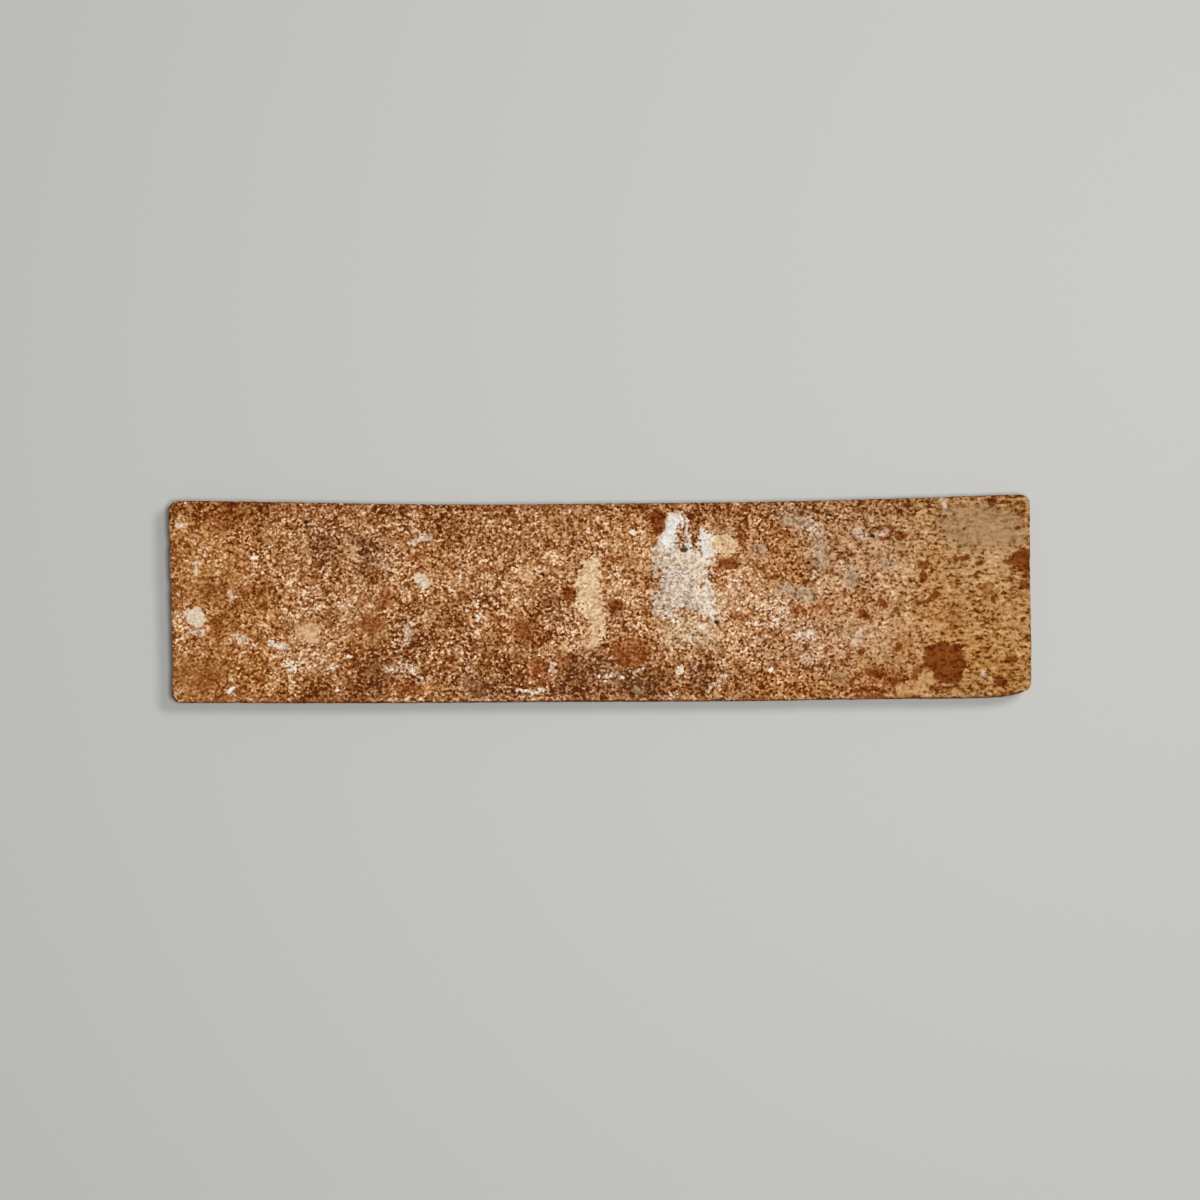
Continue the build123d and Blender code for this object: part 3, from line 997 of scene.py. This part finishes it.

# Tone of the clay: its grains, lumps and zones, paler on the right half, with painted shade along the
# rim
tone = {0: fine, 1: strength, 2: MIDDLE}
tone = add_node(tree, "ShaderNodeMath", tone, operation="MULTIPLY_ADD").outputs[0]
shade = add_node(tree, "ShaderNodeAttribute", attribute_name="shade").outputs["Fac"]
for part, weight, middle in [
    (lumps["lump"], 0.45, MIDDLE),
    (shade, 1.0, 0.0),
    (along["rightward"], 0.03, 0.0),
    (along["right_half"], 0.04, 0.0),
    # painted shade along the rim
    (mark_mask("rim", 0.8, 0.6, 1.0), -0.05, 0.0),
]:
    part = add_node(tree, "ShaderNodeMath", {0: part, 1: middle}, operation="SUBTRACT").outputs[0]
    tone = {0: part, 1: weight, 2: tone}
    tone = add_node(tree, "ShaderNodeMath", tone, operation="MULTIPLY_ADD").outputs[0]

# Towards the right end the pale grains melt into one sandy ground
GROUND = 0.52
above = add_node(tree, "ShaderNodeMath", {0: tone, 1: GROUND}, operation="SUBTRACT").outputs[0]
above = add_node(tree, "ShaderNodeMath", {0: above, 1: 0.0}, operation="MAXIMUM").outputs[0]
tone = {0: above, 1: along["melting"], 2: tone}
tone = add_node(tree, "ShaderNodeMath", tone, operation="MULTIPLY_ADD").outputs[0]

# The clay in four tints, each from its dark gaps to its pale grains
TINT_START = 0.03
TINT_STEP = 0.135
tints = {
    "tan": ["#501C00", "#693204", "#824B1C", "#9B6538", "#B48052", "#CD9B6E", "#E6BC94", "#FADEC2"],
    "rusty": ["#501800", "#692C00", "#82440C", "#9B5E24", "#B4793E", "#CD945C", "#E6B484", "#FAD8B2"],
    "sandy": ["#502404", "#693C12", "#82562E", "#9B704A", "#B48A64", "#CDA57F", "#E6C2A0", "#FAE2CA"],
    "golden": ["#502000", "#693A00", "#825614", "#9B7034", "#B48A54", "#CDA570", "#E6C294", "#FAE2C2"],
}
clay = {}
for name, codes in tints.items():
    stops = [(TINT_START + TINT_STEP * step, code) for step, code in enumerate(codes)]
    clay[name] = add_node(tree, "ShaderNodeValToRGB", {0: tone}, stops=stops).outputs[0]

# Iron makes it rusty and too little of it sandy; pale lumps and the right half have less
IRON_LUMPS = {3: 0.35, 4: -0.25}
IRON_RIGHT = -0.5
iron = add_node(tree, "ShaderNodeAttribute", attribute_name="iron").outputs["Fac"]
rusting = {0: lumps["lump"], **USUAL, **IRON_LUMPS}
rusting = add_node(tree, "ShaderNodeMapRange", rusting).outputs[0]
iron = add_node(tree, "ShaderNodeMath", {0: iron, 1: rusting}, operation="ADD").outputs[0]
iron = {0: along["right_half"], 1: IRON_RIGHT, 2: iron}
iron = add_node(tree, "ShaderNodeMath", iron, operation="MULTIPLY_ADD").outputs[0]
want = add_node(tree, "ShaderNodeMath", {0: iron, 1: -1.0}, operation="MULTIPLY").outputs[0]
colour = clay["tan"]
for amount, name in [(iron, "rusty"), (want, "sandy"), (along["golden"], "golden")]:
    mixed = {0: amount, 6: colour, 7: clay[name]}
    colour = add_node(tree, "ShaderNodeMix", mixed, data_type="RGBA").outputs[2]

# Everything that lies on the clay, from the first coat to the last, and at the end the painted
# shade of the near rim: where each covers, and its dark, middle and light colours
COAT_STOPS = (0.15, 0.5, 0.85)
salt = {0: speck_mask(1.6, 0.13, 0.5, 0.1, 0.9), 1: along["leftward"]}
salt = add_node(tree, "ShaderNodeMath", salt, operation="MULTIPLY").outputs[0]
dots = {0: speck_mask(1.8, 0.4, 0.7, 0.15, 0.9), 1: along["right_half"]}
dots = add_node(tree, "ShaderNodeMath", dots, operation="MULTIPLY").outputs[0]
coats = [
    (speck_mask(7.0, 0.3, 2.2, 0.6, 0.7), "#6E3606", "#8C4E18", "#A66C36"),
    (speck_mask(6.0, 0.3, 1.8, 0.8, 0.45), "#A8784A", "#C09266", "#D6AE84"),
    (mark_mask("plum", 2.0, 1.8, 0.32), "#5C341A", "#8C6246", "#BC987E"),
    (mark_mask("haze", 1.4, 1.2, 0.82), "#8E6A42", "#A27E58", "#B6926C"),
    (mark_mask("ash", 1.2, 0.9, 0.8), "#947658", "#B09276", "#C6AA8E"),
    (mark_mask("stain", 1.6, 1.2, 0.7), "#743602", "#9A5E2C", "#C08A52"),
    (mark_mask("peach", 0.9, 0.7, 0.88), "#B08052", "#CE9E70", "#E6BE94"),
    (mark_mask("cream", 1.0, 0.7, 0.9), "#C29A70", "#E0BE94", "#F2D4AC"),
    (speck_mask(3.0, 0.4, 1.0, 0.35, 0.8), "#5A2000", "#783806", "#925018"),
    (dots, "#4A1E00", "#643408", "#7C4A1C"),
    (mark_mask("dust", 2.4, 1.4, 0.6), "#987450", "#C6A47E", "#E2CAAA"),
    (mark_mask("wash", 1.2, 0.8, 0.94), "#A0866E", "#CCB8A2", "#EADED0"),
    (mark_mask("mortar", 1.2, 0.8, 0.92), "#BC9E80", "#E2CEB6", "#F2E6D4"),
    (mark_mask("lime", 0.8, 0.5, 0.95), "#D4C8B8", "#E6DED4", "#F4F0EA"),
    (mark_mask("ochre", 0.9, 0.6, 0.9), "#A0743C", "#BE9058", "#D8B07C"),
    (mark_mask("rust", 0.55, 0.25, 0.96), "#682C04", "#925224", "#BA7C4C"),
    (mark_mask("umber", 0.5, 0.25, 0.97), "#541C00", "#763600", "#904E14"),
    (mark_mask("lilac", 0.9, 0.6, 0.75), "#A88868", "#D4B69E", "#F0DECC"),
    (salt, "#D8AC84", "#F0CCA8", "#FCEAD4"),
    (mark_mask("chalk", 0.7, 0.3, 0.95), "#B09072", "#E0C8AC", "#F8ECDC"),
    (mark_mask("chip", 0.25, 0.35, 0.96), "#CCB292", "#DEC8AA", "#ECDCC6"),
    (mark_mask("flake", 0.15, 0.2, 0.97), "#ECD2BC", "#F8E8DA", "#FFF8F0"),
    (mark_mask("soot", 0.2, 0.2, 0.95), "#120A06", "#24160E", "#3C281C"),
    # painted shade on the rounded rim of the near edge
    (mark_mask("near_rim_shade", 0.2, 0.25, 0.65), "#3C1400", "#5A2A08", "#7A4420"),
]
for mask, *codes in coats:
    stops = list(zip(COAT_STOPS, codes))
    coat = add_node(tree, "ShaderNodeValToRGB", {0: tone}, stops=stops).outputs[0]
    colour = add_node(tree, "ShaderNodeMix", {0: mask, 6: colour, 7: coat}, data_type="RGBA").outputs[2]

# Bare body on the back and low on the walls, below where the decoration ran over the rim
BODY_STOPS = (0.3, 0.5, 0.7)
BODY_TINTS = ("#967252", "#AE8C6A", "#C4A688")
RUN_HEIGHT = {3: 5.0, 4: 8.0}
RUN_EDGE = 0.6
stops = list(zip(BODY_STOPS, BODY_TINTS))
body = add_node(tree, "ShaderNodeValToRGB", {0: lumps["grain"]}, stops=stops).outputs[0]
ran_to = {0: lumps["lump"], **USUAL, **RUN_HEIGHT}
ran_to = add_node(tree, "ShaderNodeMapRange", ran_to).outputs[0]
height = add_node(tree, "ShaderNodeMath", {0: apart["Z"], 1: ran_to}, operation="SUBTRACT").outputs[0]
covered = {0: height, 1: -RUN_EDGE, 2: RUN_EDGE}
covered = add_node(tree, "ShaderNodeMapRange", covered, interpolation_type="SMOOTHSTEP").outputs[0]
colour = add_node(tree, "ShaderNodeMix", {0: covered, 6: body, 7: colour}, data_type="RGBA").outputs[2]

# Pale grains stand a little above the gaps and are a little smoother
BUMP_STRENGTH = 0.35
BUMP_HEIGHT = 0.25
GRAIN_TONES = {1: 0.2, 2: 0.8}
GRAIN_ROUGHNESS = {3: 0.85, 4: 0.65}
PORCELAIN_IOR = 1.5
MATTE_SPECULAR = 0.1
bump = {"Height": tone, "Strength": BUMP_STRENGTH, "Distance": BUMP_HEIGHT * MM}
bump = add_node(tree, "ShaderNodeBump", bump).outputs[0]
rough = {0: tone, **GRAIN_TONES, **GRAIN_ROUGHNESS}
rough = add_node(tree, "ShaderNodeMapRange", rough).outputs[0]
shader = add_node(
    tree,
    "ShaderNodeBsdfPrincipled",
    {
        "Base Color": colour,
        "Roughness": rough,
        "IOR": PORCELAIN_IOR,
        "Specular IOR Level": MATTE_SPECULAR,
        "Normal": bump,
    },
)
add_node(tree, "ShaderNodeOutputMaterial", {"Surface": shader.outputs["BSDF"]})
tile_mesh.materials.append(porcelain)
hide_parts("subway_tile")
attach(tile, "root")

# Floor: a plain pale studio board that the tile lies on, painted matte so that nothing
# mirrors in it and only the tile's own short shadow shows.
HALF_FLOOR = 4.0
FLOOR_ROUGHNESS = 0.9
floor_corners = [(-HALF_FLOOR, -HALF_FLOOR, 0), (HALF_FLOOR, -HALF_FLOOR, 0)]
floor_corners += [(HALF_FLOOR, HALF_FLOOR, 0), (-HALF_FLOOR, HALF_FLOOR, 0)]
floor_mesh = bpy.data.meshes.new("floor")
floor_mesh.from_pydata(floor_corners, [], [(0, 1, 2, 3)])
floor = bpy.data.objects.new("floor", floor_mesh)
bpy.context.scene.collection.objects.link(floor)

# Matte paint: an even pale grey
floor_paint = bpy.data.materials.new("floor_paint")
floor_paint.use_nodes = True
paint = floor_paint.node_tree.nodes["Principled BSDF"].inputs
paint["Base Color"].default_value = linear("#C5C6C3")
paint["Roughness"].default_value = FLOOR_ROUGHNESS
floor_mesh.materials.append(floor_paint)

# Light: a soft lamp from the far right that gives the short shadow, a fill lamp nearly overhead,
# and an even pale surround. Each lamp by its place and width in metres and its power in watts.
SURROUND = 0.22
for name, stands, width, power in [
    ("window_lamp", Vector((0.38, 0.27, 0.9)), 0.3, 3.6),
    ("fill_lamp", Vector((0.10, -0.05, 1.1)), 0.2, 5.7),
]:
    lamp_data = bpy.data.lights.new(name, "AREA")
    lamp_data.shape = "DISK"
    lamp_data.size = width
    lamp_data.energy = power
    lamp = bpy.data.objects.new(name, lamp_data)
    lamp.location = stands
    lamp.rotation_euler = stands.to_track_quat("Z", "Y").to_euler()
    lamp.visible_camera = False
    bpy.context.scene.collection.objects.link(lamp)
world = bpy.data.worlds.new("surround")
world.use_nodes = True
world.node_tree.nodes["Background"].inputs["Color"].default_value = linear("#FFFFFF")
world.node_tree.nodes["Background"].inputs["Strength"].default_value = SURROUND
bpy.context.scene.world = world

# Camera: straight above the tile, with a long lens so that the walls stay hidden.
VIEW_WIDTH = 347.3
VIEW_SHIFT = -0.35
LENS = 120.0
SENSOR = 36.0
camera_data = bpy.data.cameras.new("camera")
camera_data.lens = LENS
camera_data.sensor_width = SENSOR
camera = bpy.data.objects.new("camera", camera_data)
above_face = VIEW_WIDTH * LENS / SENSOR
camera.location = (0, VIEW_SHIFT * MM, (THICKNESS + above_face) * MM)
bpy.context.scene.collection.objects.link(camera)
bpy.context.scene.camera = camera
bpy.context.scene.view_settings.view_transform = "Standard"
